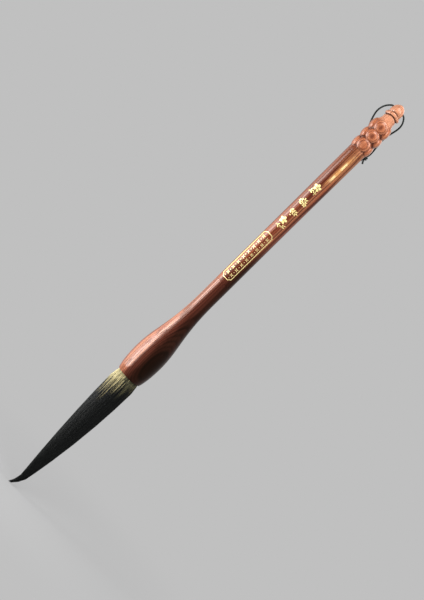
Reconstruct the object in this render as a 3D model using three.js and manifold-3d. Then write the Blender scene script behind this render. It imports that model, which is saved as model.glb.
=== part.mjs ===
// A large calligraphy brush: a long head of hair in a flared wooden bell, a slim turned shaft,
// a carved finial, and a cord loop through a cross hole in the finial's knob.
// Units are millimetres. Z runs along the handle, from the hair's tip up to the knob.
// X is the direction of the cross hole, and the inscribed side of the handle faces -Y.
import * as THREE from "three";
import { mergeGeometries, mergeVertices } from "three/addons/utils/BufferGeometryUtils.js";
import Module from "manifold-3d";

const manifold = await Module();
manifold.setup();

// ---------------------------------------------------------------- driving dimensions
// Heights run up from the bell's mouth and depths run down from it.
const gripHeight = 80; // mouth to the fingers' place on the handle, where the origin is

// Turned wooden bell that holds the hair
const bellLength = 75; // mouth to the seam with the shaft
const mouthRadius = 7.85;
const lipWall = 0.55; // wood left between the hair bore and the lip's outside
const lipRounding = 0.35;
const bellyRadius = 9.5; // widest part of the bell
const bellyHeight = 15.4;
const bellNeckLength = 13; // plain slim stretch between the end of the flare and the seam

// Shaft
const shaftLength = 103; // bell seam to finial seam
const shaftFootRadius = 5.05;
const shaftWaistRadius = 4.95;
const shaftTopRadius = 5.25;

// Glued tenons, one at each end of the shaft
const footTenonRadius = 3;
const footTenonLength = 12;
const topTenonRadius = 2.8;
const topTenonLength = 10;
const glueGap = 0.2; // round a tenon
const tenonEndGap = 0.5; // past a tenon's end

// Carved finial: two full tiers of lumps, a top tier with a shoulder, neck, collar and knob
const finialFoot = 0.4; // least height of the plain stretch below the lowest crease
const lowTierHeight = 7.6;
const lowTierRadius = 6.1;
const midTierHeight = 6.4;
const midTierRadius = 6.45;
const topTierHeight = 9.7; // from its crease to the neck
const topTierSwell = 3.3; // from its crease to its widest line
const topTierRadius = 6.45;
const creaseRadius = 5.85; // at the sides
const creaseCut = 0.8; // how much deeper a crease is at the front and back
const creaseWave = 1.6; // creases rise this much at the front and back, and drop as much at the sides
const lumpDip = 0.8; // how far a tier draws in between its four lumps
const neckRadius = 4.05;
const neckHeight = 2.2;
const collarRadius = 4.7;
const collarHeight = 2.8;
const knobRadius = 4;
const knobHeight = 6.3;

// Hair. Depths run down from the mouth.
const rootHeight = 18; // how far the hair's roots reach up into the bell
const sliceHeight = 8; // stretch of the roots that is glued solid
const mantleRootWall = 0.6; // thickness of the outer layer's glued roots
const bellyRootWall = 2.3; // and of the middle layer's
const rootGap = 0.3; // between the glued roots of neighbouring layers
const hairLength = 90; // below the mouth
const hairBoreGap = 0.35; // between the hair and the bore where it leaves the bell
const hairMouthDepth = 0.4; // the hair starts to swell this far below the mouth
const hairBellyRadius = 8.05;
const hairBellyDepth = 4;
const hairTipRadius = 0.35;
const bellyDepth = 58; // how far the middle layer's longest hair reaches
const strandSunk = 1; // how far strands start inside the glued roots
const shortestPoint = 1; // a strand's last bend is at least this far above its tip
const hairDrift = 1.26; // sideways set of the head, from hairDriftStart down to where the tip hooks
const hairDriftStart = 15;
const tipHook = 3.64; // further sideways throw of the hooked tip
const tipHookLength = 9;

// Thread that binds the roots, and the hardened resin they are sealed with
const threadThickness = 0.4;
const bindingHeight = 5;
const bindingGap = 0.2; // from the thread to the roots inside it, and to the bore
const resinHeight = 2.2;
const resinClearance = 0.3;

// Cord loop
const cordRadius = 0.55;
const cordHoleGap = 0.4; // round the cord where it passes through the cross hole
const crossHoleHeight = 2.8; // above the collar's top

// The loop's centre line from the knot up the hidden leg, through the hole and down the other leg.
// x, y, z from the middle of the cross hole.
const loopRoute = [
  [4.55, 7.65, -30.7],
  [3.2, 7.75, -29.1],
  [1.4, 7.8, -27.2],
  [-0.7, 7.75, -25.0],
  [-2.9, 7.2, -22.3],
  [-4.9, 6.1, -19.0],
  [-6.5, 4.7, -15.3],
  [-7.7, 3.5, -11.7],
  [-8.25, 2.4, -8.4],
  [-7.9, 1.5, -5.6],
  [-6.85, 0.7, -3.0],
  [-5.2, 0.15, -0.9],
  [-4.2, 0, -0.2],
  [-3.1, 0, 0],
  [-1, 0, 0],
  [1, 0, 0],
  [3.1, 0, 0],
  [4.2, 0, -0.2],
  [5.15, 0.15, -0.9],
  [6.4, 0.65, -2.7],
  [7.15, 1.35, -4.8],
  [7.3, 2.2, -7.2],
  [6.85, 3.3, -10.2],
  [6.15, 4.3, -13.4],
  [5.65, 4.9, -16.8],
  [5.6, 5.3, -20.2],
  [5.95, 5.8, -23.4],
  [6.3, 6.5, -26.4],
  [6.4, 7.0, -28.8],
  [6.3, 7.3, -30.3],
];
const knotCentre = [5.75, 7.65, -32.3];
// The knot's two tails, from its middle
const longTail = [
  [0, 0, 0],
  [0.35, 0.15, -1.6],
  [0.7, 0.2, -2.6],
  [1.35, 0.25, -3.6],
];
const shortTail = [
  [0, 0, 0],
  [-0.45, 0.35, -1.4],
  [-0.6, 0.55, -2.3],
  [-0.65, 0.6, -3.0],
];

// Counts
const turnedSides = 40; // facets round a turned piece
const cordSides = 8;
const loopSteps = 60;
const mantleStrands = 110;
const bellyStrands = 120;
const coreStrands = 70;

// ---------------------------------------------------------------- sizes that follow
const boreRadius = mouthRadius - lipWall;
const boreDepth = rootHeight + resinHeight + resinClearance;
const flareHeight = bellLength - bellNeckLength;
const finialSeam = bellLength + shaftLength;
const lowCrease = finialSeam + finialFoot + creaseWave;
const midCrease = lowCrease + lowTierHeight;
const topCrease = midCrease + midTierHeight;
const neckFoot = topCrease + topTierHeight;
const collarFoot = neckFoot + neckHeight;
const knobFoot = collarFoot + collarHeight;
const knobTop = knobFoot + knobHeight;
const crossHole = knobFoot + crossHoleHeight;
const hookStart = hairLength - tipHookLength;
const hookMiddle = hairLength - tipHookLength / 2;
const hairMouthRadius = boreRadius - hairBoreGap;
const rootRadius = boreRadius - threadThickness - 2 * bindingGap;
const bellyRootRadius = rootRadius - mantleRootWall - rootGap;
const coreRootRadius = bellyRootRadius - bellyRootWall - rootGap;
const sliceFoot = rootHeight - sliceHeight;
const strandStart = -sliceFoot - strandSunk;
const crossHoleRadius = cordRadius + cordHoleGap;
const knotRadius = 2.8 * cordRadius; // two wraps of cord drawn tight

// ---------------------------------------------------------------- materials
function surface(color, roughness, metalness = 0) {
  return new THREE.MeshStandardMaterial({ color, roughness, metalness });
}

const bellWood = surface(0x8a3f2a, 0.3);
const shaftWood = surface(0x96462d, 0.3);
const finialWood = surface(0xb5673f, 0.35);
const mantleHair = surface(0x26282a, 0.55);
const bellyHair = surface(0x1d1f20, 0.6);
const coreHair = surface(0x161819, 0.6);
const cottonThread = surface(0xcfc4a4, 0.85);
const hardResin = surface(0x5e3416, 0.25);
const loopCord = surface(0x232d2a, 0.8);

// ---------------------------------------------------------------- geometry helpers
// Turns a profile of [radius, height] points about Z. It starts and ends on the axis or closes on
// itself, and has the material on its left.
function turned(profile) {
  const points = profile.map(([radius, height]) => new THREE.Vector2(radius, height));
  return new THREE.LatheGeometry(points, turnedSides).rotateX(Math.PI / 2);
}

// Points along a cubic curve in a profile, without its first point.
function profileCurve(start, startHandle, endHandle, end, steps) {
  const corners = [start, startHandle, endHandle, end].map(([r, h]) => new THREE.Vector2(r, h));
  const curve = new THREE.CubicBezierCurve(...corners);
  return curve.getPoints(steps).slice(1).map((point) => point.toArray());
}

// A closed skin through rings of points. The rings go up and each runs anticlockwise seen from
// above, or they go down and run clockwise. A tip point, where there is one, closes the last ring.
function loft(rings, tip) {
  const count = rings[0].length;
  const points = rings.flat();
  const faces = [];
  const at = (ring, i) => ring * count + (i % count);
  for (let ring = 0; ring + 1 < rings.length; ring++) {
    for (let i = 0; i < count; i++) {
      faces.push(at(ring, i), at(ring, i + 1), at(ring + 1, i + 1));
      faces.push(at(ring, i), at(ring + 1, i + 1), at(ring + 1, i));
    }
  }
  const last = rings.length - 1;
  for (let i = 1; i + 1 < count; i++) {
    faces.push(at(0, 0), at(0, i + 1), at(0, i));
    if (!tip) faces.push(at(last, 0), at(last, i), at(last, i + 1));
  }
  if (tip) {
    for (let i = 0; i < count; i++) faces.push(at(last, i), at(last, i + 1), points.length);
    points.push(tip);
  }
  return new THREE.BufferGeometry().setFromPoints(points).setIndex(faces);
}

// A round tube along a curve, with flat ends.
function tube(curve, radius, steps) {
  const ring = [];
  for (let i = 0; i < cordSides; i++) {
    const angle = (2 * Math.PI * i) / cordSides;
    ring.push(new THREE.Vector2(radius * Math.cos(angle), radius * Math.sin(angle)));
  }
  const section = new THREE.Shape(ring);
  return new THREE.ExtrudeGeometry(section, { steps, bevelEnabled: false, extrudePath: curve });
}

// A closed geometry as a solid that can be joined and cut.
function solidOf(geometry) {
  const bare = geometry.clone();
  bare.deleteAttribute("normal");
  bare.deleteAttribute("uv");
  const merged = mergeVertices(bare, 1e-4);
  const vertProperties = merged.attributes.position.array;
  const triVerts = new Uint32Array(merged.index.array);
  return new manifold.Manifold(new manifold.Mesh({ numProp: 3, vertProperties, triVerts }));
}

function geometryOf(solid) {
  const mesh = solid.getMesh();
  const geometry = new THREE.BufferGeometry();
  geometry.setAttribute("position", new THREE.BufferAttribute(mesh.vertProperties, mesh.numProp));
  return geometry.setIndex(new THREE.BufferAttribute(mesh.triVerts, 1));
}

function piece(name, geometry, material) {
  const mesh = new THREE.Mesh(geometry, material);
  mesh.name = name;
  return mesh;
}

// ---------------------------------------------------------------- handle
function makeBell() {
  const socketRadius = footTenonRadius + glueGap;
  const socketFloor = bellLength - footTenonLength - tenonEndGap;
  const lipCentre = mouthRadius - lipRounding;
  const lip = [0, 1, 2].map((step) => {
    const angle = (step * Math.PI) / 4;
    return [lipCentre + lipRounding * Math.sin(angle), lipRounding * (1 - Math.cos(angle))];
  });
  const swell = bellyRadius - mouthRadius;
  const flare = flareHeight - bellyHeight;
  return turned([
    [0, boreDepth],
    [boreRadius, boreDepth],
    [boreRadius, 0],
    ...lip,
    ...profileCurve(
      [mouthRadius, lipRounding],
      [mouthRadius + 0.7 * swell, 0.25 * bellyHeight],
      [bellyRadius, 0.65 * bellyHeight],
      [bellyRadius, bellyHeight],
      5,
    ),
    ...profileCurve(
      [bellyRadius, bellyHeight],
      [bellyRadius, bellyHeight + 0.32 * flare],
      [shaftFootRadius, flareHeight - 0.54 * flare],
      [shaftFootRadius, flareHeight],
      9,
    ),
    [shaftFootRadius, bellLength],
    [socketRadius, bellLength],
    [socketRadius, socketFloor],
    [0, socketFloor],
  ]);
}

function makeShaft() {
  const socketRadius = topTenonRadius + glueGap;
  const socketFloor = finialSeam - topTenonLength - tenonEndGap;
  const waist = [shaftWaistRadius, bellLength + 0.4 * shaftLength];
  return turned([
    [0, bellLength - footTenonLength],
    [footTenonRadius, bellLength - footTenonLength],
    [footTenonRadius, bellLength],
    [shaftFootRadius, bellLength],
    ...profileCurve([shaftFootRadius, bellLength], waist, waist, [shaftTopRadius, finialSeam], 6),
    [socketRadius, finialSeam],
    [socketRadius, socketFloor],
    [0, socketFloor],
  ]);
}

// The finial's skin is made of rows, each a function from an angle round it to a radius and height.
// A tier swells in a round arc from the crease at its foot to the next crease.
function tierRow(foot, height, radius, footCrease, turn) {
  return (angle) => {
    const topShare = (1 - Math.cos(turn)) / 2;
    const cut = creaseCut * Math.sin(angle) ** 2;
    const crease = footCrease + (creaseRadius - footCrease) * topShare - cut;
    const swell = (tierRadius(radius, angle) - crease) * Math.sin(turn);
    return [crease + swell, foot + height * topShare - creaseWave * Math.cos(2 * angle)];
  };
}

// A tier has four lumps, at the front, the back and the sides.
function tierRadius(radius, angle) {
  return radius - (lumpDip * (1 - Math.cos(4 * angle))) / 2;
}

function tierRows(foot, height, radius, footCrease) {
  const turns = [0, 1, 2, 3, 4, 5].map((step) => (step * Math.PI) / 6);
  return turns.map((turn) => tierRow(foot, height, radius, footCrease, turn));
}

// The top tier swells like the others up to its widest line, and then draws in to the neck.
function shoulderRows() {
  const rows = tierRows(topCrease, 2 * topTierSwell, topTierRadius, creaseRadius).slice(0, 4);
  const widest = topCrease + topTierSwell;
  const steps = 6;
  for (let step = 1; step <= steps; step++) {
    const share = step / steps;
    const drawnIn = (1 - Math.cos(Math.PI * share)) / 2;
    rows.push((angle) => {
      const radius = tierRadius(topTierRadius, angle);
      const wave = creaseWave * Math.cos(2 * angle) * (1 - share);
      return [radius + (neckRadius - radius) * drawnIn, widest + (neckFoot - widest) * share - wave];
    });
  }
  return rows;
}

// A rounded collar, and above it a knob that draws in to the collar and comes to a blunt point.
function knobRows() {
  const rows = [0, 1, 2, 3, 4, 5].map((step) => {
    const turn = (step * Math.PI) / 5;
    const radius = neckRadius + (collarRadius - neckRadius) * Math.sin(turn);
    const height = collarFoot + (collarHeight * (1 - Math.cos(turn))) / 2;
    return () => [radius, height];
  });
  const undercut = Math.PI / 9; // how far round its section the knob starts below its widest line
  const pointedness = 1.3; // 1 gives a round top
  const steps = 7;
  const topHeight = knobHeight / (1 + Math.sin(undercut));
  for (let step = 1; step < steps; step++) {
    const turn = ((Math.PI / 2 + undercut) * step) / steps - undercut;
    const height = knobTop - topHeight * (1 - Math.sin(turn));
    rows.push(() => [knobRadius * Math.cos(turn) ** pointedness, height]);
  }
  return rows;
}

function makeFinial() {
  const rows = [
    () => [topTenonRadius, finialSeam - topTenonLength],
    () => [topTenonRadius, finialSeam],
    () => [shaftTopRadius, finialSeam],
    ...tierRows(lowCrease, lowTierHeight, lowTierRadius, shaftTopRadius + creaseCut / 2),
    ...tierRows(midCrease, midTierHeight, midTierRadius, creaseRadius),
    ...shoulderRows(),
    ...knobRows(),
  ];
  const rings = rows.map((row) => {
    const ring = [];
    for (let i = 0; i < turnedSides; i++) {
      const angle = (2 * Math.PI * i) / turnedSides;
      const [radius, height] = row(angle);
      ring.push(new THREE.Vector3(radius * Math.cos(angle), radius * Math.sin(angle), height));
    }
    return ring;
  });
  const carved = solidOf(loft(rings, new THREE.Vector3(0, 0, knobTop)));
  const drill = new THREE.CylinderGeometry(crossHoleRadius, crossHoleRadius, 4 * knobRadius, 16);
  drill.rotateZ(Math.PI / 2).translate(0, 0, crossHole);
  return geometryOf(carved.subtract(solidOf(drill)));
}

// ---------------------------------------------------------------- hair
// The head's outside radius at a depth below the mouth. Depths above the mouth are negative.
function hairRadius(depth) {
  const between = (start, end) => Math.min(1, Math.max(0, (depth - start) / (end - start)));
  const leaving = between(-sliceFoot, hairMouthDepth);
  const swelling = between(hairMouthDepth, hairBellyDepth);
  const narrowing = 1 - (1 - between(hairBellyDepth, hairLength) ** 1.8) ** 0.95;
  const swollen = rootRadius
    + (hairMouthRadius - rootRadius) * leaving
    + (hairBellyRadius - hairMouthRadius) * swelling;
  return swollen + (hairTipRadius - hairBellyRadius) * narrowing;
}

// The sideways offset of the head's centre line at a depth.
function hairOffset(depth) {
  const drift = Math.max(0, (depth - hairDriftStart) / (hookStart - hairDriftStart));
  const hook = Math.max(0, (depth - hookStart) / tipHookLength);
  return -hairDrift * drift ** 2 - tipHook * hook ** 2;
}

// Centre and radius of the head at a depth, straight between the depths where its strands bend.
// The strands of a layer bend at the same depths, so they are one bundle drawn in or spread out,
// and none of them crosses another.
function bundleAt(depth, bends) {
  const next = Math.max(1, bends.findIndex((bend) => bend >= depth));
  const [above, below] = [bends[next - 1], bends[next]];
  const share = (depth - above) / (below - above);
  const mix = (value) => value(above) + (value(below) - value(above)) * share;
  return { x: mix(hairOffset), radius: mix(hairRadius) };
}

// One three-sided strand from inside the glued roots to its point. u and v are its place in a head
// of radius 1, size is its own radius there, and one of its flats faces outwards.
function strand(u, v, size, tipDepth, bends) {
  const place = (depth, du, dv) => {
    const { x, radius } = bundleAt(depth, bends);
    return new THREE.Vector3(x + radius * (u + du), radius * (v + dv), -depth);
  };
  const inwards = Math.atan2(-v, -u);
  const corners = [2, 1, 0].map((side) => inwards + (2 * Math.PI * side) / 3);
  const rings = bends
    .filter((depth) => depth < tipDepth - shortestPoint)
    .map((depth) =>
      corners.map((angle) => place(depth, size * Math.cos(angle), size * Math.sin(angle))),
    );
  return loft(rings, place(tipDepth, 0, 0));
}

// A layer of hair: its strands fused to the slice of glued roots that carries them.
function hairLayer(strands, innerRoot, outerRoot) {
  const slice = [
    [innerRoot, rootHeight],
    [innerRoot, sliceFoot],
    [outerRoot, sliceFoot],
    [outerRoot, rootHeight],
    [innerRoot, rootHeight],
  ];
  return geometryOf(solidOf(mergeGeometries(strands)).add(solidOf(turned(slice))));
}

// A share from 0 to 1 for a strand, which varies from each to the next with no visible order.
function uneven(index) {
  return (index * 0.618034) % 1;
}

// The outer layer: one ring of strands side by side, over most of the length.
function makeMantle() {
  const taper = hookStart - hairBellyDepth;
  const tapering = [0, 0.2, 0.42, 0.7].map((share) => hairBellyDepth + share * taper);
  const bends = [strandStart, hairMouthDepth, ...tapering, hookStart, hookMiddle, hairLength];
  const spacing = (2 * Math.PI) / mantleStrands;
  const size = 0.42 * spacing;
  const ring = 1 - 0.9 * size;
  const strands = [];
  for (let i = 0; i < mantleStrands; i++) {
    const angle = i * spacing;
    const tipDepth = hookStart + (0.2 + 0.65 * uneven(i)) * tipHookLength;
    strands.push(strand(ring * Math.cos(angle), ring * Math.sin(angle), size, tipDepth, bends));
  }
  return hairLayer(strands, bellyRootRadius + rootGap, rootRadius);
}

// Strands spread evenly between two radii of the roots, by the sunflower's angle.
function spreadStrands(count, innerRoot, outerRoot, tipOf, bends) {
  const sunflower = Math.PI * (3 - Math.sqrt(5));
  const size = (0.6 / rootRadius) * Math.sqrt((outerRoot ** 2 - innerRoot ** 2) / count);
  const inner = innerRoot > 0 ? innerRoot / rootRadius + size : 0;
  const outer = outerRoot / rootRadius - size;
  const strands = [];
  for (let i = 0; i < count; i++) {
    const radius = Math.sqrt(inner ** 2 + ((outer ** 2 - inner ** 2) * (i + 0.5)) / count);
    const angle = i * sunflower;
    strands.push(strand(radius * Math.cos(angle), radius * Math.sin(angle), size, tipOf(i), bends));
  }
  return strands;
}

// The middle layer: shorter hair, hidden in the head, which holds the ink.
function makeBelly() {
  const inner = coreRootRadius + rootGap;
  const tipOf = (i) => (0.8 + 0.2 * uneven(i)) * bellyDepth;
  const strands = spreadStrands(bellyStrands, inner, bellyRootRadius, tipOf, [strandStart, bellyDepth]);
  return hairLayer(strands, inner, bellyRootRadius);
}

// The core: stiff hair that reaches furthest and makes the point.
function makeCore() {
  const middle = (hairBellyDepth + hookStart) / 2;
  const bends = [strandStart, middle, hookStart, hookMiddle, hairLength];
  const tipOf = (i) => hairLength - 0.35 * uneven(i) * tipHookLength;
  return hairLayer(spreadStrands(coreStrands, 0, coreRootRadius, tipOf, bends), 0, coreRootRadius);
}

function makeBinding() {
  const inner = rootRadius + bindingGap;
  const outer = inner + threadThickness;
  const foot = rootHeight - bindingHeight;
  return turned([[inner, foot], [outer, foot], [outer, rootHeight], [inner, rootHeight], [inner, foot]]);
}

function makeResin() {
  const radius = boreRadius - resinClearance;
  const top = rootHeight + resinHeight;
  return turned([[0, rootHeight], [radius, rootHeight], [radius, top], [0, top]]);
}

// ---------------------------------------------------------------- cord loop
function smoothCurve(points) {
  return new THREE.CatmullRomCurve3(points.map((point) => new THREE.Vector3(...point)));
}

function makeLoop() {
  return tube(smoothCurve(loopRoute), cordRadius, loopSteps);
}

// An overhand knot drawn tight: two wraps round the cord's two ends, and the tails left below it.
function makeKnot() {
  const wrap = (height, tilt) => {
    const ring = new THREE.TorusGeometry(knotRadius - cordRadius, cordRadius, cordSides, 14);
    return solidOf(ring.rotateY(tilt).translate(0, 0, height));
  };
  const heart = solidOf(new THREE.SphereGeometry(knotRadius - cordRadius / 2, 10, 8));
  const tail = (points) => solidOf(tube(smoothCurve(points), cordRadius, 5));
  const wraps = wrap(cordRadius, 0.35).add(wrap(-cordRadius, -0.3));
  return geometryOf(heart.add(wraps).add(tail(longTail)).add(tail(shortTail)));
}

// ---------------------------------------------------------------- the brush
const handleAndHair = new THREE.Group();
handleAndHair.add(
  piece("ferrule_bell", makeBell(), bellWood),
  piece("handle_shaft", makeShaft(), shaftWood),
  piece("carved_finial", makeFinial(), finialWood),
  piece("hair_mantle", makeMantle(), mantleHair),
  piece("hair_belly", makeBelly(), bellyHair),
  piece("hair_core", makeCore(), coreHair),
  piece("root_binding", makeBinding(), cottonThread),
  piece("root_resin", makeResin(), hardResin),
);

// The loop turns about the cross hole.
const loop = new THREE.Group();
loop.position.z = crossHole;
const knot = piece("loop_knot", makeKnot(), loopCord);
knot.position.set(...knotCentre);
loop.add(piece("hanging_loop", makeLoop(), loopCord), knot);

const standing = new THREE.Group();
standing.position.z = -gripHeight;
standing.add(handleAndHair, loop);

const brush = new THREE.Group();
brush.add(standing);
export default brush;
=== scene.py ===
# %% [markdown]
# # A large calligraphy brush
#
# A big writing brush is a head of long hair glued into a turned wooden bell, a slim turned shaft,
# and a carved finial with a cord loop to hang it by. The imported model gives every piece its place.
# Here each piece is modelled once more, finely enough to be looked at closely, and gets its finish.
# The brush stands upright in this frame: Z runs from the hair's tip up to the knob, X runs along
# the cross hole in the knob, and the gilded side faces -Y.

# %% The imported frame
import math
from types import SimpleNamespace

import bmesh
import bpy
import numpy as np
from mathutils import Matrix, Vector


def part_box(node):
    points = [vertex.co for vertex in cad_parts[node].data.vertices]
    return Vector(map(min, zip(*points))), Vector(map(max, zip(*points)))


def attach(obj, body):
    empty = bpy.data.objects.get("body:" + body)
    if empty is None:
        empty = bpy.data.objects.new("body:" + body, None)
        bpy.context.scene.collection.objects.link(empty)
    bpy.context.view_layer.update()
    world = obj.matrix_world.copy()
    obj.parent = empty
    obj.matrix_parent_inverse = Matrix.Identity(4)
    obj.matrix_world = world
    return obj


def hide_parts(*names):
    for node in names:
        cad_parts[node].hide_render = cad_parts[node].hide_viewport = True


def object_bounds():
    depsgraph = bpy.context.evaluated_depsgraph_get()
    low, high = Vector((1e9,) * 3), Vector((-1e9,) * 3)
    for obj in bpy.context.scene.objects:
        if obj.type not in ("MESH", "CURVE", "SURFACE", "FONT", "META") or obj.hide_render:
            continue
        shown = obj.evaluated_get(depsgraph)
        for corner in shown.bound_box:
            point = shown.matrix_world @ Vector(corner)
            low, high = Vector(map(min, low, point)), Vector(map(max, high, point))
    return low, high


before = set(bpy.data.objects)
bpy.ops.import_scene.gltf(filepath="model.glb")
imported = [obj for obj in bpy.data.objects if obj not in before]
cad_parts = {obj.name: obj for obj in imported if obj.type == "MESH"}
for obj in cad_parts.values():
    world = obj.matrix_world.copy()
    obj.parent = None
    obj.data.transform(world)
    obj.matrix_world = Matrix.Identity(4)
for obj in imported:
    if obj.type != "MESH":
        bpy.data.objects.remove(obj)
cad_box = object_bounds()
mm = 0.001
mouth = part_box("ferrule_bell")[0].z  # heights below are mm above the bell's mouth, depths mm below
print("pieces in the frame:", ", ".join(sorted(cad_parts)))
print("the box of the whole brush:", cad_box)

# %% [markdown]
# ## Camera
#
# The brush is seen on a slant, but it is built upright, so the camera is rolled instead of the
# brush. It looks down a little on the upright brush, which shows in the lip of the bell and in the
# collar under the knob. A long lens from some way off keeps the handle as straight and even as it
# looks from a few steps away.

# %% Camera
picture_height = 600  # pixels
pixel = 0.5552 * mm  # how much of the brush one pixel shows
picture_middle = Vector((2.25, 0, -16.6)) * mm  # the place that is in the middle of the picture
handle_slope = math.radians(44.6)  # of the handle in the picture, above the horizontal
camera_lift = math.radians(8)
lens, sensor = 400, 36

roll = math.pi / 2 - handle_slope
raised = Vector((0, math.sin(camera_lift), math.cos(camera_lift)))
back = Vector((0, -math.cos(camera_lift), math.sin(camera_lift)))
level = Vector((1, 0, 0))
right = level * math.cos(roll) + raised * math.sin(roll)
up = raised * math.cos(roll) - level * math.sin(roll)

bpy.ops.object.camera_add()
camera = bpy.context.object
camera.data.lens, camera.data.sensor_width = lens, sensor
camera_distance = picture_height * pixel * lens / sensor
turned_to_brush = Matrix((right, up, back)).transposed().to_4x4()
camera.matrix_world = Matrix.Translation(picture_middle + back * camera_distance) @ turned_to_brush
bpy.context.scene.camera = camera
bpy.context.scene.view_settings.view_transform = "Standard"
print(f"the camera is {camera_distance:.2f} m from the brush")

# %% [markdown]
# ## Helpers at the bench
#
# A Blender operator works on whatever is selected, so each job starts by laying everything else
# down. Turned pieces are made as a wood turner draws them, from a profile: a filled disc is laid on
# the axis, and its rim is extruded and scaled from one point of the profile to the next. The last
# rim is merged into its middle, which closes the piece.

# %% Selecting, finishing and turning
def pick(*pieces):
    """Selects these objects and nothing else. The first one is the one that is worked on."""
    bpy.ops.object.select_all(action="DESELECT")
    for piece in pieces:
        piece.select_set(True)
    if pieces:
        bpy.context.view_layer.objects.active = pieces[0]


def edges_where(piece, chosen):
    """In edit mode, selects only the edges for which chosen(edge) holds."""
    net = bmesh.from_edit_mesh(piece.data)
    for part in (*net.verts, *net.edges, *net.faces):
        part.select = False
    for edge in net.edges:
        if chosen(edge):
            edge.select_set(True)
    bmesh.update_edit_mesh(piece.data)


def cut(place, across):
    """In edit mode, adds points all along a plane. across is the direction it faces."""
    bpy.ops.mesh.select_all(action="SELECT")
    bpy.ops.mesh.bisect(plane_co=place, plane_no=across)


def laid_down(name, data):
    """A new object in the scene that holds this mesh."""
    piece = bpy.data.objects.new(name, data)
    bpy.context.scene.collection.objects.link(piece)
    return piece


def finished(piece, name, crisp=30):
    """Faces out, smooth but for its crisp edges, and with its place in its mesh."""
    if bpy.context.mode == "EDIT_MESH":
        bpy.ops.mesh.select_all(action="SELECT")
        bpy.ops.mesh.normals_make_consistent(inside=False)
        bpy.ops.object.mode_set(mode="OBJECT")
    pick(piece)
    bpy.ops.object.transform_apply(location=True, rotation=True, scale=True)
    bpy.ops.object.shade_smooth_by_angle(angle=math.radians(crisp))
    piece.name = piece.data.name = name
    size = [round(side / mm, 2) for side in piece.dimensions]
    print(f"{name}: {len(piece.data.polygons)} faces, box {size} mm")
    return piece


def turned(profile, sides):
    """A closed piece turned about Z, left in edit mode. The profile's points are radius and height
    above the mouth in mm, and it starts and ends on the axis."""
    radius, height = profile[1]
    pick()
    bpy.ops.mesh.primitive_circle_add(vertices=sides, radius=radius * mm, fill_type="TRIFAN",
                                      location=(0, 0, mouth + height * mm))
    piece = bpy.context.object
    bpy.ops.object.transform_apply(location=True, rotation=False, scale=False)
    bpy.ops.object.mode_set(mode="EDIT")
    bpy.ops.mesh.select_all(action="SELECT")
    bpy.ops.mesh.region_to_loop()
    for next_radius, next_height in profile[2:]:
        rise = (next_height - height) * mm
        bpy.ops.mesh.extrude_edges_move(TRANSFORM_OT_translate={"value": (0, 0, rise)})
        if next_radius > 0:
            ratio = next_radius / radius
            bpy.ops.transform.resize(value=(ratio, ratio, 1), center_override=(0, 0, 0))
            radius, height = next_radius, next_height
    bpy.ops.mesh.merge(type="CENTER")
    return piece


def profile_curve(start, start_handle, end_handle, end, steps):
    """Points along a cubic curve in a profile, without its first point."""
    corners = [np.array(corner, float) for corner in (start, start_handle, end_handle, end)]
    points = []
    for share in np.linspace(0, 1, steps + 1)[1:]:
        weights = [(1 - share) ** 3, 3 * share * (1 - share) ** 2, 3 * share**2 * (1 - share), share**3]
        points.append(tuple(sum(w * c for w, c in zip(weights, corners))))
    return points


# %% [markdown]
# ## Cord loop
#
# A thin dark cord runs through the cross hole in the knob, and its two ends are knotted together.
# The knot is heavier than the cord, so it hangs to the low side of the slanting brush and draws one
# leg taut along the finial. Its route is a few chosen points with a smooth curve through them.
# The cord is a tubular braid: four strands wind one way and four the other, and each goes over one
# strand and under the next. Strands this thin would cost far too many faces one by one, so the
# braid is one closed skin: a tube along the route, whose radius at every point is that of the
# strand which lies outermost there.

# %% Route
cross_hole = np.array([0, 0, mouth + 211.5 * mm])
# From the knot up the hidden leg, through the hole and down the other leg, in mm from the hole.
loop_route = [
    (4.55, 7.65, -30.7), (3.2, 7.75, -29.1), (1.4, 7.8, -27.2), (-0.7, 7.75, -25.0),
    (-2.9, 7.2, -22.3), (-4.9, 6.1, -19.0), (-6.5, 4.7, -15.3), (-7.7, 3.5, -11.7),
    (-8.25, 2.4, -8.4), (-7.9, 1.5, -5.6), (-6.85, 0.7, -3.0), (-5.2, 0.15, -0.9),
    (-4.2, 0, -0.2), (-3.1, 0, 0), (-1, 0, 0), (1, 0, 0), (3.1, 0, 0), (4.2, 0, -0.2),
    (5.15, 0.15, -0.9), (6.4, 0.65, -2.7), (7.15, 1.35, -4.8), (7.3, 2.2, -7.2),
    (6.85, 3.3, -10.2), (6.15, 4.3, -13.4), (5.65, 4.9, -16.8), (5.6, 5.3, -20.2),
    (5.95, 5.8, -23.4), (6.3, 6.5, -26.4), (6.4, 7.0, -28.8), (6.3, 7.3, -30.3),
]
braid_step = 0.16  # mm between the rings of points
fineness = 24  # how many points are worked out from one point of a route to the next


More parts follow.
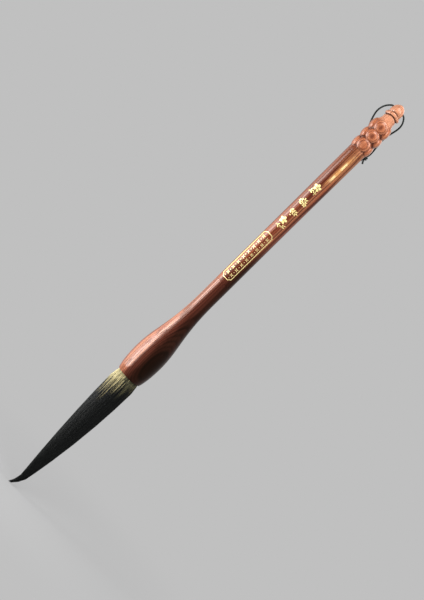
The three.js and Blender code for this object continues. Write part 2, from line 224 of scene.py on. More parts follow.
def smooth_line(points, step):
    """Evenly spaced points on the smooth curve through some points."""
    given = np.array(points, float)
    given = np.vstack([2 * given[0] - given[1], given, 2 * given[-1] - given[-2]])
    fine = []
    for a, b, c, d in zip(given, given[1:], given[2:], given[3:]):
        before, here, after = (np.linalg.norm(q - p) ** 0.5 for p, q in ((a, b), (b, c), (c, d)))
        leave = ((b - a) / before - (c - a) / (before + here) + (c - b) / here) * here
        arrive = ((c - b) / here - (d - b) / (here + after) + (d - c) / after) * here
        for s in np.linspace(0, 1, fineness, endpoint=False):
            fine.append((2 * s**3 - 3 * s**2 + 1) * b + (s**3 - 2 * s**2 + s) * leave
                        + (3 * s**2 - 2 * s**3) * c + (s**3 - s**2) * arrive)
    fine = np.array([*fine, given[-2]])
    reach = np.concatenate([[0], np.cumsum(np.linalg.norm(np.diff(fine, axis=0), axis=1))])
    wanted = np.linspace(0, reach[-1], max(2, round(reach[-1] / step)))
    return np.stack([np.interp(wanted, reach, fine[:, axis]) for axis in range(3)], axis=1)


loop_line = smooth_line(loop_route, braid_step)

# %% Skin of the braid
cord_radius = 0.55
strands_each_way, strand_radius = 4, 0.19
braid_pitch = 4.2  # mm of cord in which a strand goes once round
braid_weave = 0.05  # how far a strand rises over and dips under the others
valley_radius = 0.65 * cord_radius  # no valley between strands goes deeper


def braid_skin(reach, around):
    """The braid's radius in mm at a distance along the cord and an angle round it: that of the
    strand which lies outermost there."""
    skin = np.full(np.broadcast(reach, around).shape, valley_radius)
    wound = 2 * math.pi * reach / braid_pitch
    for way in (1, -1):
        middle = (cord_radius - strand_radius - braid_weave
                  + way * braid_weave * np.cos(strands_each_way * wound))
        for place in range(strands_each_way):
            aside = around - way * wound - place * 2 * math.pi / strands_each_way
            room = strand_radius**2 - (middle * np.sin(aside)) ** 2
            strand = np.where((room > 0) & (np.cos(aside) > 0),
                              middle * np.cos(aside) + np.sqrt(np.maximum(room, 0)), 0)
            skin = np.maximum(skin, strand)
    return skin


# %% Braiding
braid_sides = 36


def braided(name, *lines):
    """Braided cord along lines of points in mm from the cross hole, as one mesh."""
    points, faces = [], []
    around = np.arange(braid_sides) * 2 * math.pi / braid_sides
    for line in lines:
        along = np.gradient(line, axis=0)
        along /= np.linalg.norm(along, axis=1)[:, None]
        side = np.cross(along[0], (0.3, 1, 0.2))
        across = []
        for direction in along:  # the side is carried along the line without a twist
            side = side - direction * (side @ direction)
            side /= np.linalg.norm(side)
            across.append(side)
        across = np.array(across)[:, None]
        other = np.cross(along[:, None], across)
        skin = braid_skin(np.arange(len(line))[:, None] * braid_step, around)[..., None]
        turn = around[:, None]
        tube = line[:, None] + skin * (across * np.cos(turn) + other * np.sin(turn))
        first = len(points)
        points += [*tube.reshape(-1, 3), line[0], line[-1]]
        for ring in range(len(line) - 1):
            for place in range(braid_sides):
                a, b = (first + ring * braid_sides + p % braid_sides for p in (place, place + 1))
                faces.append((a, b, b + braid_sides, a + braid_sides))
        last = first + (len(line) - 1) * braid_sides
        for place in range(braid_sides):
            after = (place + 1) % braid_sides
            faces.append((len(points) - 2, first + after, first + place))
            faces.append((len(points) - 1, last + place, last + after))
    data = bpy.data.meshes.new(name)
    data.from_pydata((cross_hole + np.array(points) * mm).tolist(), [], faces)
    cord = laid_down(name, data)
    pick(cord)
    bpy.ops.object.mode_set(mode="EDIT")
    return finished(cord, name, crisp=60)


cord_loop = braided("cord_loop", loop_line)
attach(cord_loop, "loop")
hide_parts("hanging_loop")

# %% [markdown]
# ## Knot
#
# The two ends meet in a small knot drawn tight: one end goes straight down through it, and the
# other winds nearly twice round the first before its tail comes out below. The tails are cut to
# slightly different lengths. A plain lump would be less work, but the same braid along both ends
# shows how the cord runs.

# %% Knot
knot_middle = np.array([5.75, 7.65, -32.3])  # mm from the cross hole
wrap_radius = 2 * cord_radius - 0.12  # the cords press into each other a little
wrap_height = 0.85
wrap_points, wrap_start, wrap_turn = 16, 1.05, 0.23  # the last two in half turns
straight_end = [(0.57, -0.4, 2.5), (0.4, -0.2, 1.5), (0.1, 0, 0.6), (0, 0, -0.4), (0.12, 0.08, -1.1),
                (0.35, 0.15, -1.7), (0.7, 0.2, -2.6), (1.35, 0.25, -3.6)]
wound_end = [(-1.5, 0.02, 1.9), (-1.25, -0.05, 1.45)]
for step in range(wrap_points):
    turn = math.pi * (wrap_start + wrap_turn * step)
    wound_end.append((wrap_radius * math.cos(turn), wrap_radius * math.sin(turn),
                      wrap_height * (1 - 2 * step / (wrap_points - 1))))
wound_end += [(-0.5, 0.45, -1.7), (-0.62, 0.57, -2.4), (-0.65, 0.6, -3.0)]
knot_lines = [smooth_line(np.array(end) + knot_middle, braid_step) for end in (straight_end, wound_end)]
knot = braided("cord_knot", *knot_lines)
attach(knot, "loop")
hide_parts("loop_knot")

# %% [markdown]
# ## Bell
#
# The bell is the flared lower end of the handle, turned from dark rosewood. Its mouth is bored out
# to a thin lip that grips the roots of the hair, it swells to its widest just above, and then
# draws in along one long curve to the slimness of the shaft. A short socket in its upper end takes
# the shaft's tenon. It is one turned piece, so one closed profile gives it all.

# %% Bell
turned_sides = 128
bell_length = 75
mouth_radius, belly_radius, belly_height = 7.85, 9.5, 15.4
bore_radius, bore_depth = 7.3, 20.5
lip_rounding, bore_rounding, edge_break = 0.35, 0.1, 0.12
neck_radius, neck_height = 5.05, 62
tenon_radius, tenon_length = 3.0, 12
glue_gap, end_gap = 0.2, 0.5


def lip(middle, radius, height, start, end, steps=6):
    """Points round a small arc in a profile, by angles in quarter turns from straight down."""
    turns = np.linspace(start, end, steps + 1) * math.pi / 2
    return [(middle + radius * math.sin(turn), height - radius * math.cos(turn)) for turn in turns]


swell, flare = belly_radius - mouth_radius, neck_height - belly_height
bell_profile = [
    (0, bore_depth),
    (bore_radius, bore_depth),
    *[(bore_radius, height) for height in (16, 12, 8, 4, 1)],
    *lip(bore_radius + bore_rounding, bore_rounding, bore_rounding, -1, 0, 3),
    *lip(mouth_radius - lip_rounding, lip_rounding, lip_rounding, 0, 1),
    *profile_curve((mouth_radius, lip_rounding), (mouth_radius + 0.7 * swell, 0.25 * belly_height),
                   (belly_radius, 0.65 * belly_height), (belly_radius, belly_height), 16),
    *profile_curve((belly_radius, belly_height), (belly_radius, belly_height + 0.32 * flare),
                   (neck_radius, neck_height - 0.54 * flare), (neck_radius, neck_height), 44),
    *[(neck_radius, height) for height in (66, 70, bell_length - edge_break)],
    (neck_radius - edge_break, bell_length),
    (tenon_radius + glue_gap, bell_length),
    (tenon_radius + glue_gap, bell_length - tenon_length - end_gap),
    (0, bell_length - tenon_length - end_gap),
]
bell = finished(turned(bell_profile, turned_sides), "turned_bell")
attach(bell, "brush")
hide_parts("ferrule_bell")

# %% [markdown]
# ## Shaft
#
# The shaft is a slim rod with a slight waist, which makes a good grip. A tenon on its foot goes
# into the bell, and a bore in its top takes the finial's tenon. The edges at both joints are broken
# by a small chamfer, as a turner does so that a glued joint shows as one fine, even line. It is
# turned from a profile as the bell is, because a plain cylinder has neither waist nor chamfers.

# %% Shaft
shaft_length = 103
finial_seam = bell_length + shaft_length
waist = (4.95, bell_length + 0.4 * shaft_length)
shaft_top_radius = 5.25
top_tenon_radius, top_tenon_length = 2.8, 10
tenon_chamfer = 0.3
shaft_profile = [
    (0, bell_length - tenon_length),
    (tenon_radius - tenon_chamfer, bell_length - tenon_length),
    (tenon_radius, bell_length - tenon_length + tenon_chamfer),
    (tenon_radius, bell_length),
    (neck_radius - edge_break, bell_length),
    (neck_radius, bell_length + edge_break),
    *profile_curve((neck_radius, bell_length + edge_break), waist, waist,
                   (shaft_top_radius, finial_seam - edge_break), 40),
    (shaft_top_radius - edge_break, finial_seam),
    (top_tenon_radius + glue_gap, finial_seam),
    (top_tenon_radius + glue_gap, finial_seam - top_tenon_length - end_gap),
    (0, finial_seam - top_tenon_length - end_gap),
]
shaft = finished(turned(shaft_profile, turned_sides), "turned_shaft")
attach(shaft, "brush")
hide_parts("handle_shaft")

# %% [markdown]
# ## Gilding
#
# The front of the shaft is gilded with four sprigs above a long notched frame. Gold leaf is far
# thinner than anything a mesh needs to show, so each shape is cut out flat in front of the shaft,
# pressed back onto it by a Shrinkwrap modifier, and given a hair's thickness. Petals, leaves and
# beads are one disc and one leaf, copied to many places and sizes.

# %% Disc and leaf to stamp with
gilt_middle = -1.3  # mm along X: the gilding's middle lies to the left of the shaft's front line
laid_out = -8  # mm along Y: where the shapes lie in front of the shaft before they are pressed on
stamps = []


def flat_disc():
    """A flat disc 1 mm across that faces the front, with enough points to bend round the shaft."""
    pick()
    bpy.ops.mesh.primitive_circle_add(vertices=20, radius=0.5 * mm, fill_type="TRIFAN",
                                      rotation=(math.pi / 2, 0, 0))
    disc = bpy.context.object
    bpy.ops.object.transform_apply(location=False, rotation=True, scale=False)
    bpy.ops.object.mode_set(mode="EDIT")
    bpy.ops.mesh.select_all(action="SELECT")
    bpy.ops.mesh.subdivide(number_cuts=1)
    bpy.ops.object.mode_set(mode="OBJECT")
    return disc


def stamp(master, aside, height, wide, tall, turn=0):
    """Lays a copy of a shape in front of the shaft, at mm beside the gilding's middle and mm above
    the mouth, and turned by degrees."""
    shape = laid_down("stamp", master.data.copy())
    place = Vector(((gilt_middle + aside) * mm, laid_out * mm, mouth + height * mm))
    shape.matrix_world = (Matrix.Translation(place) @ Matrix.Rotation(math.radians(turn), 4, "Y")
                          @ Matrix.Diagonal((wide, 1, tall, 1)))
    stamps.append(shape)


disc = flat_disc()
leaf = flat_disc()
for point in leaf.data.vertices:  # pinched to a point at both ends
    point.co.x *= max(0, 1 - abs(point.co.z) / (0.52 * mm)) ** 0.45
print(f"a leaf has {len(leaf.data.polygons)} faces")


# %% Sprigs
def around(aside, height, reach, turn):
    """A place at a distance from another, in a direction in degrees from straight up."""
    angle = math.radians(turn)
    return aside + reach * math.sin(angle), height + reach * math.cos(angle)


def blossom(aside, height, size):
    for number in range(5):
        turn = 72 * number
        stamp(disc, *around(aside, height, 0.31 * size, turn), 0.31 * size, 0.36 * size, turn)
        stamp(leaf, *around(aside, height, 0.12 * size, turn + 36), 0.05 * size, 0.16 * size, turn + 36)
    stamp(disc, aside, height, 0.09 * size, 0.09 * size)


def leafy_twig(aside, height, reach, turn, pairs, leaf_size):
    leaf_width, stalk_width = 0.42 * leaf_size, 0.28
    stamp(leaf, *around(aside, height, reach / 2, turn), stalk_width, reach, turn)
    for pair in range(pairs):
        share = (pair + 0.8) / (pairs + 0.4)
        joint = around(aside, height, reach * share, turn)
        for way in (turn + 50, turn - 50):
            stamp(leaf, *around(*joint, 0.62 * leaf_size, way), leaf_width, leaf_size, way)
    tip = around(aside, height, reach + 0.35 * leaf_size, turn)
    stamp(leaf, *tip, leaf_width, leaf_size, turn)


blossom(0.3, 150.0, 4.8)
leafy_twig(-2.6, 145.2, 2.6, 52, 1, 1.6)
leafy_twig(1.6, 145.1, 2.0, -8, 1, 1.3)
leafy_twig(-2.1, 136.3, 4.9, 38, 3, 1.9)
blossom(1.9, 138.0, 2.7)
leafy_twig(-2.6, 130.9, 4.6, 88, 3, 1.8)
stamp(disc, 0.2, 128.6, 0.9, 0.7)
blossom(-0.3, 123.9, 4.6)
leafy_twig(-2.4, 119.3, 2.8, 74, 1, 1.5)
leafy_twig(1.0, 119.5, 2.4, 40, 1, 1.4)
print(len(stamps), "petals, leaves and twigs")

# %% Notched frame
frame_foot, frame_top, frame_width, frame_line = 78.0, 113.2, 6.4, 0.34
frame_middle = Vector((gilt_middle * mm, laid_out * mm, mouth + (frame_foot + frame_top) / 2 * mm))
pick()
bpy.ops.mesh.primitive_plane_add(size=mm, rotation=(math.pi / 2, 0, 0), location=frame_middle)
border = bpy.context.object
border.scale = (frame_width, frame_top - frame_foot, 1)
bpy.ops.object.transform_apply(location=True, rotation=True, scale=True)
bpy.ops.object.mode_set(mode="EDIT")
bpy.ops.mesh.select_all(action="SELECT")
bpy.ops.mesh.bevel(offset=1.3 * mm, segments=6, affect="VERTICES", profile=0.15)
bpy.ops.mesh.select_all(action="SELECT")
bpy.ops.mesh.inset(thickness=frame_line * mm)
bpy.ops.mesh.delete(type="FACE")
for aside in np.arange(-2.8, 2.9, 0.7):  # its rails need points to bend round the shaft with
    cut(((gilt_middle + aside) * mm, 0, 0), (1, 0, 0))
for height in np.arange(frame_foot + 3, frame_top, 3):
    cut((0, 0, mouth + height * mm), (0, 0, 1))
bpy.ops.object.mode_set(mode="OBJECT")
stamps.append(border)
print(f"the frame is {frame_width} x {frame_top - frame_foot:.1f} mm")

# %% Two rows of buds
bud_start, bud_step, bud_aside = 3.6, 4, 1.35  # mm below the frame's top, apart, and off its middle
for row in range(8):
    height = frame_top - bud_start - bud_step * row
    for aside in (-bud_aside, bud_aside):
        for number in range(4):
            turn = 45 + 90 * number
            stamp(leaf, *around(aside, height, 0.6, turn), 0.38, 1.05, turn)
        stamp(disc, aside, height - bud_step / 2, 0.4, 0.4)
print(len(stamps), "shapes to press on")

# %% Pressing the leaf on
leaf_thickness = 0.08
pick(*stamps)
bpy.ops.object.join()
gilding = bpy.context.object
bpy.ops.object.transform_apply(location=True, rotation=True, scale=True)
bpy.data.objects.remove(disc)
bpy.data.objects.remove(leaf)
press = gilding.modifiers.new("press", "SHRINKWRAP")
press.target, press.wrap_method, press.use_project_y = shaft, "PROJECT", True
bpy.ops.object.modifier_apply(modifier="press")
body = gilding.modifiers.new("body", "SOLIDIFY")
body.thickness, body.offset = leaf_thickness * mm, 0
bpy.ops.object.modifier_apply(modifier="body")
finished(gilding, "gilt_sprigs")
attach(gilding, "brush")

# %% [markdown]
# ## Finial
#
# The finial is carved by hand from one block: three tiers of four round lumps, with deep creases
# between the tiers that rise over the front and back lumps and drop at the sides. Above them the
# block draws in to a neck, a rounded collar and a pointed knob. It starts here as a turned blank
# with one ring of points to each stroke of the carving. The gouge then moves every point of a ring
# to the radius and height that its place round the finial asks for, which a sculpting brush could
# do as well, but not twice in the same way. Last, the cross hole is drilled by taking a thin rod
# away from the knob.

# %% Lumps
carved_sides = 192
lump_inset, lump_half_width = 2.6, 4.1  # how deep a lump's middle lies below its top, and half its width
# Each tier's front and side heights, its lumps' half height, and how far out their tops stand.
tiers = {"low": (185.0, 183.5, 4.6, 6.2), "middle": (191.9, 190.4, 4.1, 6.5),
         "top": (198.6, 197.0, 4.4, 6.5)}
lumps = []
for front_height, side_height, half_height, top in tiers.values():
    for quarter in range(4):
        middle = front_height if quarter % 2 else side_height
        lumps.append((quarter * math.pi / 2, middle, half_height, top))
print(len(lumps), "lumps")


def lump_surface(lump, angle, height):
    """How far out a lump's egg shape reaches at an angle and height, or 0 beside it."""
    facing, middle, half_height, top = lump
    c, s = math.cos(angle - facing), math.sin(angle - facing)
    if c <= 0:
        return 0
    centre = top - lump_inset
    square = (c / lump_inset) ** 2 + (s / lump_half_width) ** 2
    slope = centre * c / lump_inset**2
    rest = (centre / lump_inset) ** 2 + ((height - middle) / half_height) ** 2 - 1
    room = slope**2 - square * rest
    return (slope + math.sqrt(room)) / square if room > 0 else 0


# %% Core, stem and shoulder
# Radii to the side, how much less they are to the front and back, and in the four corners between.
core_radius, core_flat, core_dip = 5.4, 0.5, 0.25
shoulder_radius, shoulder_flat, shoulder_dip = 6.2, 0.7, 0.35
stem_end, core_foot = 179, 182  # between these heights the stem turns into the core
widening_foot, widening_top = 193.4, 197.4
shoulder_foot, neck_foot, finial_neck = 196.6, 203.7, 4.05


def smooth_share(value, start, end):
    share = min(max((value - start) / (end - start), 0), 1)
    return share * share * (3 - 2 * share)


def body_ring(height):
    """The finial from the seam to the neck: a core that widens to a shoulder, with lumps on it."""
    def at(angle):
        front = math.sin(angle) ** 2
        between = 1 - abs(math.cos(2 * angle))
        core = core_radius - core_flat * front - core_dip * between
        core += (shaft_top_radius - core) * (1 - smooth_share(height, stem_end, core_foot))
        full = shoulder_radius - shoulder_flat * front - shoulder_dip * between
        core += (full - core) * smooth_share(height, widening_foot, widening_top)
        core += (finial_neck - core) * smooth_share(height, shoulder_foot, neck_foot)
        return max(core, *(lump_surface(lump, angle, height) for lump in lumps)), height
    return at


for height in (180, 190, 200):
    side, front = (body_ring(height)(angle)[0] for angle in (0, math.pi / 2))
    print(f"{height} mm up, the finial reaches {side:.2f} mm to the side and {front:.2f} to the front")


# %% Collar and knob
collar_foot, collar_height, collar_radius, collar_wave = 206.5, 2.3, 4.8, 1.0
groove_radius = 3.75  # in the fine grooves under and over the collar
knob_top, knob_radius, knob_lobe = 215.0, 4.0, 0.07
knob_undercut, knob_point = math.pi / 8, 1.25  # where the knob starts below its widest, and its point
knob_foot = collar_foot + collar_height
collar_steps, knob_steps = 14, 24


def level_ring(radius, height):
    return lambda angle: (radius, height)


def waved_ring(radius, height, wave=collar_wave, lobe=0):
    """A ring that stands higher at the front and back than at the sides, with four lobes."""
    return lambda angle: (radius * (1 - lobe * (1 - abs(math.cos(2 * angle)))),
                          height - wave * math.cos(2 * angle))


# %% Rings of the whole finial
tenon_foot = finial_seam - top_tenon_length
rings = [
    level_ring(top_tenon_radius - tenon_chamfer, tenon_foot),
    level_ring(top_tenon_radius, tenon_foot + tenon_chamfer),
    level_ring(top_tenon_radius, finial_seam),
    level_ring(shaft_top_radius - edge_break, finial_seam),
    *[body_ring(height) for height in np.linspace(finial_seam + edge_break, neck_foot, 86)],
]
for share in np.linspace(0.15, 1, 7):  # the neck
    radius = finial_neck + (groove_radius - finial_neck) * share**6
    height = neck_foot + (collar_foot - neck_foot) * share
    rings.append(waved_ring(radius, height, collar_wave * share))
for step in range(1, collar_steps):
    turn = math.pi * step / collar_steps
    radius = groove_radius + (collar_radius - groove_radius) * math.sin(turn) ** 0.7
    rings.append(waved_ring(radius, collar_foot + collar_height * (1 - math.cos(turn)) / 2))
for step in range(knob_steps):
    turn = (math.pi / 2 + knob_undercut) * step / knob_steps - knob_undercut
    share = (math.sin(turn) + math.sin(knob_undercut)) / (1 + math.sin(knob_undercut))
    radius = knob_radius * math.cos(turn) ** knob_point
    height = knob_foot + (knob_top - knob_foot) * share
    wave, lobe = collar_wave * (1 - share) ** 1.5, knob_lobe * (1 - share**3)
    rings.append(waved_ring(radius, height, wave, lobe))
print(len(rings), "rings to carve")

# %% Blank, carving and cross hole
def blank_point(ring):
    """The turned blank's radius at a ring's fullest, and its middle height."""
    (side_radius, side_height), (front_radius, front_height) = ring(0), ring(math.pi / 2)
    return max(side_radius, front_radius), (side_height + front_height) / 2


finial = turned([(0, 0), *map(blank_point, rings), (0, knob_top)], carved_sides)
net = bmesh.from_edit_mesh(finial.data)
stroke_points = list(net.verts)[1:-1]  # all but the two poles, one ring after another
for number, ring in enumerate(rings):
    for point in stroke_points[number * carved_sides : (number + 1) * carved_sides]:
        angle = math.atan2(point.co.y, point.co.x)
        radius, height = ring(angle)
        point.co = (radius * math.cos(angle) * mm, radius * math.sin(angle) * mm, mouth + height * mm)
net.verts.ensure_lookup_table()
net.verts[-1].co.z = mouth + knob_top * mm
bmesh.update_edit_mesh(finial.data)
finished(finial, "carved_top", crisp=35)

drill_radius = 0.95
pick()
bpy.ops.mesh.primitive_cylinder_add(vertices=48, radius=drill_radius * mm, depth=3 * knob_radius * mm,
                                    location=cross_hole, rotation=(0, math.pi / 2, 0))
drill = bpy.context.object
pick(finial)
bore = finial.modifiers.new("cross_hole", "BOOLEAN")
bore.operation, bore.solver, bore.object = "DIFFERENCE", "EXACT", drill
bpy.ops.object.modifier_apply(modifier="cross_hole")
bpy.data.objects.remove(drill)
finished(finial, "carved_top", crisp=35)
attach(finial, "brush")
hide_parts("carved_finial")

# %% [markdown]
# ## Hair
#
# The head is some thousands of hairs in three layers: an outer mantle that shows, a shorter belly
# that holds the ink, and a stiff core that makes the point. Wet with ink they close into one long
# cone, whose tip has set to one side. One hair is modelled once: a three-sided rod, cut across at
# the depths where a hair bends, with its far end merged to a point. Every copy of it is then laid
# along its own line from the glued roots to its tip. Thousands of copies by operators would take
# minutes, so the copies are made as arrays, and each layer is one mesh.

# %% The shape of the head
slice_foot = 10  # mm above the mouth, where the glued part of the roots begins
root_radius, hair_mouth_radius, hair_mouth_depth = 6.5, 6.95, 0.4
hair_belly_radius, hair_belly_depth = 8.05, 4
hair_length, hair_tip_radius = 90, 0.75
drift, drift_start, hook, hook_start = 1.26, 15, 3.64, 81  # the sideways set, and where it begins


def head_radius(depth):
    leaving = np.clip((depth + slice_foot) / (hair_mouth_depth + slice_foot), 0, 1)
    swelling = np.clip((depth - hair_mouth_depth) / (hair_belly_depth - hair_mouth_depth), 0, 1)
    below = np.clip((depth - hair_belly_depth) / (hair_length - hair_belly_depth), 0, 1)
    narrowing = 1 - (1 - below**1.8) ** 0.95
    swollen = (root_radius + (hair_mouth_radius - root_radius) * leaving
               + (hair_belly_radius - hair_mouth_radius) * swelling)
    return swollen + (hair_tip_radius - hair_belly_radius) * narrowing


def head_offset(depth):
    return (-drift * np.clip((depth - drift_start) / (hook_start - drift_start), 0, None) ** 2
            - hook * np.clip((depth - hook_start) / (hair_length - hook_start), 0, None) ** 2)


def lock_depth(angle, depth):
    """Wet hair parts into locks: the share by which a shallow groove draws the head in here."""
    waves = (0.5 * np.sin(9 * angle + 1) + 0.8 * np.sin(17 * angle + 2.3) + 0.7 * np.sin(29 * angle)
             + 0.5 * np.sin(43 * angle + 0.6))
    return 0.011 * np.maximum(waves, -0.4) * np.clip((depth - 2) / 18, 0, 1)


for depth in (0, hair_belly_depth, 45, 80):
    print(f"{depth} mm below the mouth, the head is {2 * head_radius(depth):.1f} mm across")

# %% One hair, modelled once
hair_bends = [0.1, 0.13, 0.17, 0.3, 0.44, 0.6, 0.75, 0.87, 0.93, 0.97, 0.992]  # shares of its length
almost_tip = 0.999


def one_hair(bends):
    """Points and faces of a three-sided rod of radius 1 from z = 0 to its point at z = 1."""
    pick()
    bpy.ops.mesh.primitive_cylinder_add(vertices=3, radius=1, depth=1, location=(0, 0, 0.5))
    rod = bpy.context.object
    bpy.ops.object.transform_apply(location=True, rotation=False, scale=False)
    bpy.ops.object.mode_set(mode="EDIT")
    for height in bends:
        cut((0, 0, height), (0, 0, 1))
    edges_where(rod, lambda edge: all(vertex.co.z > almost_tip for vertex in edge.verts))
    bpy.ops.mesh.merge(type="CENTER")
    bpy.ops.mesh.select_all(action="SELECT")
    bpy.ops.mesh.normals_make_consistent(inside=False)
    bpy.ops.object.mode_set(mode="OBJECT")
    points = np.array([vertex.co for vertex in rod.data.vertices])
    faces = [list(face.vertices) for face in rod.data.polygons]
    bpy.data.objects.remove(rod)
    print(f"one hair has {len(points)} points and {len(faces)} faces")
    return points, faces


# %% Laying a layer of hairs
root_start = -(slice_foot + 1)
scatter, sway_size = 0.004, 0.006  # radians by which a hair's place and its wave stray
sway_length = 14  # mm of hair to each radian of its wave


def hair_layer(name, count, inner, outer, width, tips, bends, seed):
    """A layer of hairs whose roots fill the ring between two radii, in mm. Each hair runs from
    inside the glued roots to a tip at a depth between the two in tips."""
    draw = np.random.default_rng(seed)
    rod, rod_faces = one_hair(bends)
    number = np.arange(count)
    spread = (number + 0.5) / count
    size = width / root_radius / 2
    low, high = inner / root_radius + size, outer / root_radius - size
    reach = np.sqrt(low**2 + (high**2 - low**2) * spread)
    angle = number * math.pi * (3 - math.sqrt(5)) + draw.normal(0, scatter, count)
    tip = tips[0] + (tips[1] - tips[0]) * draw.random(count)
    sway, sway_phase = draw.normal(0, sway_size, count), draw.random(count) * 2 * math.pi
    depth = root_start + (tip[:, None] - root_start) * rod[:, 2]
    taper = np.where(rod[:, 2] > almost_tip, 0, 1 - 0.4 * rod[:, 2] ** 4)
    angles = angle[:, None] + (sway[:, None] * np.sin(depth / sway_length + sway_phase[:, None])
                               * np.clip(depth / 10, 0, 1))
    facing = np.arctan2(rod[:, 1], rod[:, 0]) + angles + draw.random(count)[:, None] * 0.8
    radius = head_radius(depth)
    along_ring = reach[:, None] * (1 - lock_depth(angles, depth))
    x = radius * (along_ring * np.cos(angles) + size * taper * np.cos(facing)) + head_offset(depth)
    y = radius * (along_ring * np.sin(angles) + size * taper * np.sin(facing))
    points = np.stack([x * mm, y * mm, mouth - depth * mm], axis=2).reshape(-1, 3)
    faces = [[corner + hair * len(rod) for corner in reversed(face)]
             for hair in range(count) for face in rod_faces]
    data = bpy.data.meshes.new(name)
    data.from_pydata(points.tolist(), [], faces)
    tone = data.attributes.new("tone", "FLOAT", "POINT")
    tone.data.foreach_set("value", np.repeat(draw.random(count), len(rod)).astype(np.float32))
    hairs = laid_down(name, data)
    pick(hairs)
    bpy.ops.object.shade_smooth()
    print(f"{name}: {count} hairs, {len(faces)} faces")
    return hairs


# %% Mantle, belly and core
mantle_root, belly_root, core_root = 5.9, 5.6, 3.0  # inner radius of the mantle, outer of the others
layer_gap = 0.3
mantle = hair_layer("outer_hair", 1700, inner=mantle_root, outer=root_radius, width=0.17,
                    tips=(88.9, 89.97), bends=hair_bends, seed=4)
belly_hair = hair_layer("belly_hair", 900, inner=core_root + layer_gap, outer=belly_root, width=0.2,
                        tips=(44, 58), bends=hair_bends[::3], seed=5)
core_hair = hair_layer("core_hair", 520, inner=0, outer=core_root, width=0.2,
                       tips=(89.2, 89.95), bends=hair_bends[::2], seed=6)
for hairs, node in ((mantle, "hair_mantle"), (belly_hair, "hair_belly"), (core_hair, "hair_core")):
    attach(hairs, "brush")
    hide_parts(node)

# %% [markdown]
# ## Thread round the roots
#
# Before the head goes into the bell, its roots are bound with waxed thread and sealed with melted
# resin. Neither shows, but both hold the brush together. The thread is a small ring wound upwards
# by a Screw modifier, one turn above the next.

# %% Root binding
thread_radius, binding_foot, binding_turns = 0.2, 13.2, 12
turn_rise = 2 * thread_radius * mm * 0.98  # each turn presses a little into the one below
pick()
bpy.ops.mesh.primitive_circle_add(
    vertices=8, radius=thread_radius * mm, fill_type="NOTHING", rotation=(math.pi / 2, 0, 0),
    location=((root_radius + 2 * thread_radius) * mm, 0, mouth + binding_foot * mm))
binding = bpy.context.object
bpy.ops.object.transform_apply(location=True, rotation=True, scale=True)
winding = binding.modifiers.new("winding", "SCREW")
winding.angle, winding.screw_offset = 2 * math.pi, turn_rise
winding.iterations, winding.steps = binding_turns, 64
bpy.ops.object.modifier_apply(modifier="winding")
bpy.ops.object.mode_set(mode="EDIT")
edges_where(binding, lambda edge: edge.is_boundary)
bpy.ops.mesh.fill()
finished(binding, "root_thread", crisp=60)
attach(binding, "brush")
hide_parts("root_binding")

# %% [markdown]
# ## Writing down the finishes
#
# A material is a net of nodes, but its arithmetic reads best as arithmetic. A Wire is one output of
# a node that can be added to or multiplied like a number, and each step puts one more node down. A
# Finish holds one net. Its patterns read where a point is on the brush, so they go through a piece
# as grain goes through wood, and no piece needs unwrapping.

# %% Wires
class Wire:
    """One output in a finish. Sums written with it become Math nodes."""

    def __init__(self, finish, socket):
        self.finish, self.socket = finish, socket

    def math(self, operation, *others):
        return self.finish.node("Math", {"operation": operation}, dict(enumerate([self, *others])))

    def __add__(self, other):
        return self.math("ADD", other)

    def __radd__(self, other):
        return self + other

    def __mul__(self, other):
        return self.math("MULTIPLY", other)

    def __rmul__(self, other):
        return self * other

    def __sub__(self, other):
        return self.math("SUBTRACT", other)

    def __rsub__(self, other):
        return self.finish.node("Math", {"operation": "SUBTRACT"}, {0: other, 1: self})

    def __truediv__(self, other):
        return self.math("DIVIDE", other)

    def __pow__(self, other):
        return self.math("POWER", other)

    def rise(self, start, end):
        """0 below start, 1 above end, and a smooth step between."""
        return self.finish.node("MapRange", {"interpolation_type": "SMOOTHSTEP"},
                                {"Value": self, "From Min": start, "From Max": end})


